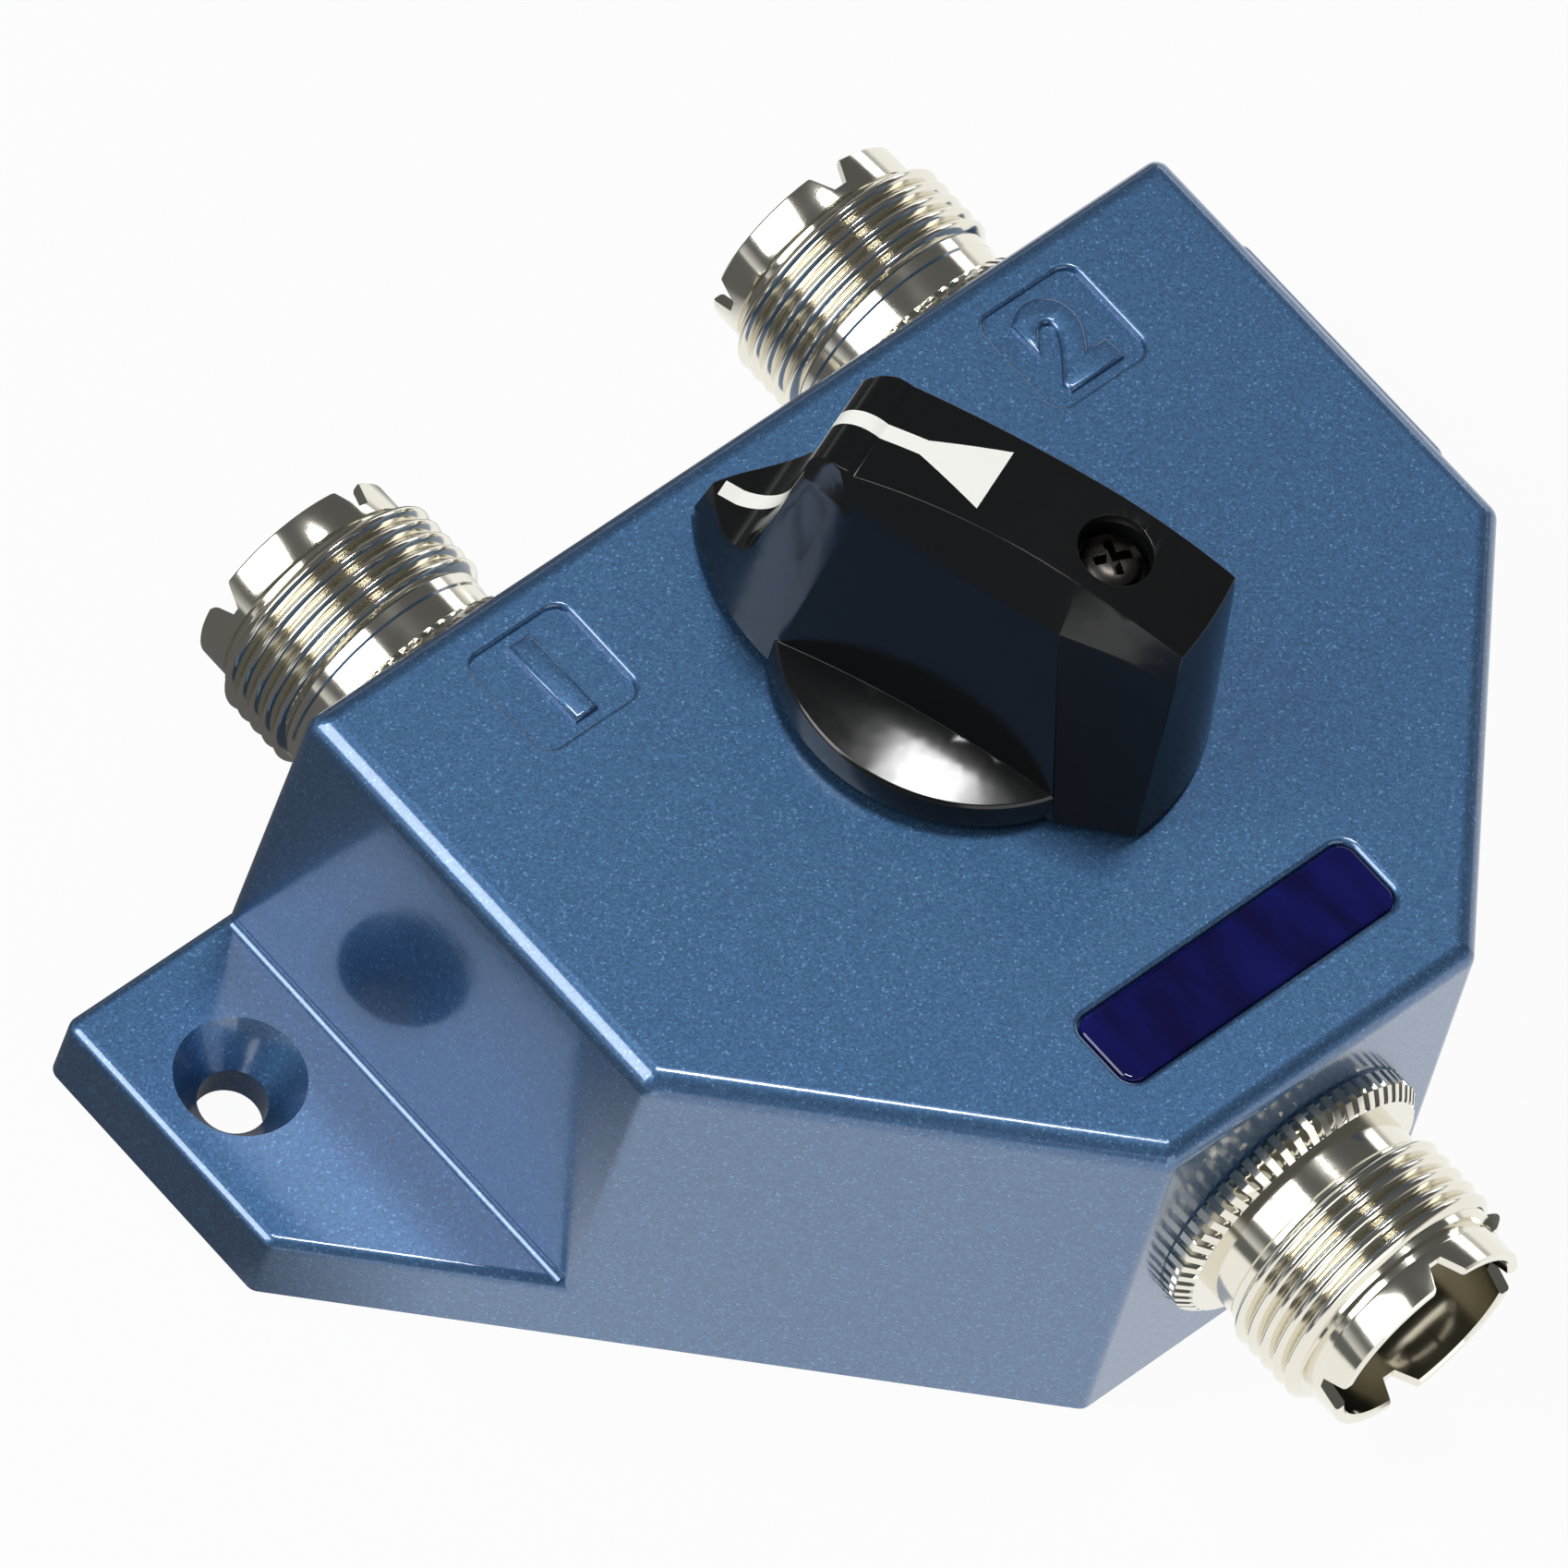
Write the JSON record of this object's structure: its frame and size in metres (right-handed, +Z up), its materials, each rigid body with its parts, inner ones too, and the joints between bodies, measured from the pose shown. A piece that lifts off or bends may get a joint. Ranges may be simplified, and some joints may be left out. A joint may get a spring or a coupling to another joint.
{
  "type": "coaxial antenna switch",
  "caption": "Die-cast antenna switch box with mounting ears, threaded coaxial sockets on opposite walls and a pointer knob that connects the common socket to one side or the other.",
  "frame": {"origin": "on the base plane, under the knob's axis", "axes": "+Z up along the knob's axis, +Y towards the wall with sockets A and B, +X from A to B"},
  "size_m": [0.093, 0.0772, 0.0462],
  "materials": {
    "blue_paint": "semi-gloss metallic blue enamel on a die casting",
    "cover_zinc": "pressed aluminium sheet, satin",
    "zinc_screws": "bright zinc plated steel",
    "badge_resin": "clear domed resin over deep blue foil",
    "black_plastic": "glossy moulded black with a painted white pointer mark",
    "black_steel": "blackened cross-head screw",
    "bright_nickel": "bright nickel plate on turned brass",
    "silvered_brass": "silver plated",
    "insulator": "white PTFE",
    "brass": "turned brass",
    "steel": "ground steel",
    "nylon": "natural nylon",
    "spring_bronze": "rolled phosphor bronze"
  },
  "bodies": {
    "case": {"housing": "blue_paint", "bottom_cover": "cover_zinc", "cover_screws": "zinc_screws", "name_badge": "badge_resin", "shaft_bush": "brass", "thrust_washer": "nylon", "detent_spring": "spring_bronze", "detent_screws": "zinc_screws", "socket_shell_a": "bright_nickel", "socket_nut_a": "bright_nickel", "socket_insulator_a": "insulator", "centre_contact_a": "silvered_brass", "contact_strip_a": "silvered_brass", "socket_shell_b": "bright_nickel", "socket_nut_b": "bright_nickel", "socket_insulator_b": "insulator", "centre_contact_b": "silvered_brass", "contact_strip_b": "silvered_brass", "socket_shell_common": "bright_nickel", "socket_nut_common": "bright_nickel", "socket_insulator_common": "insulator", "centre_contact_common": "silvered_brass", "contact_strip_common": "silvered_brass"},
    "turning": {"knob": "black_plastic", "knob_hub": "brass", "knob_screw": "black_steel", "shaft": "steel", "retaining_clip": "steel", "ground_arms": "spring_bronze", "rotor": "nylon", "rotor_blade": "spring_bronze", "rotor_screw": "zinc_screws"}
  },
  "joints": [
    {"name": "knob_turn", "type": "hinge", "parent": "case", "child": "turning", "pos_m": [0, 0, 0.0276], "axis": [0, 0, 1], "range_deg": [-40, 0], "deforming": ["detent_spring"]}
  ]
}
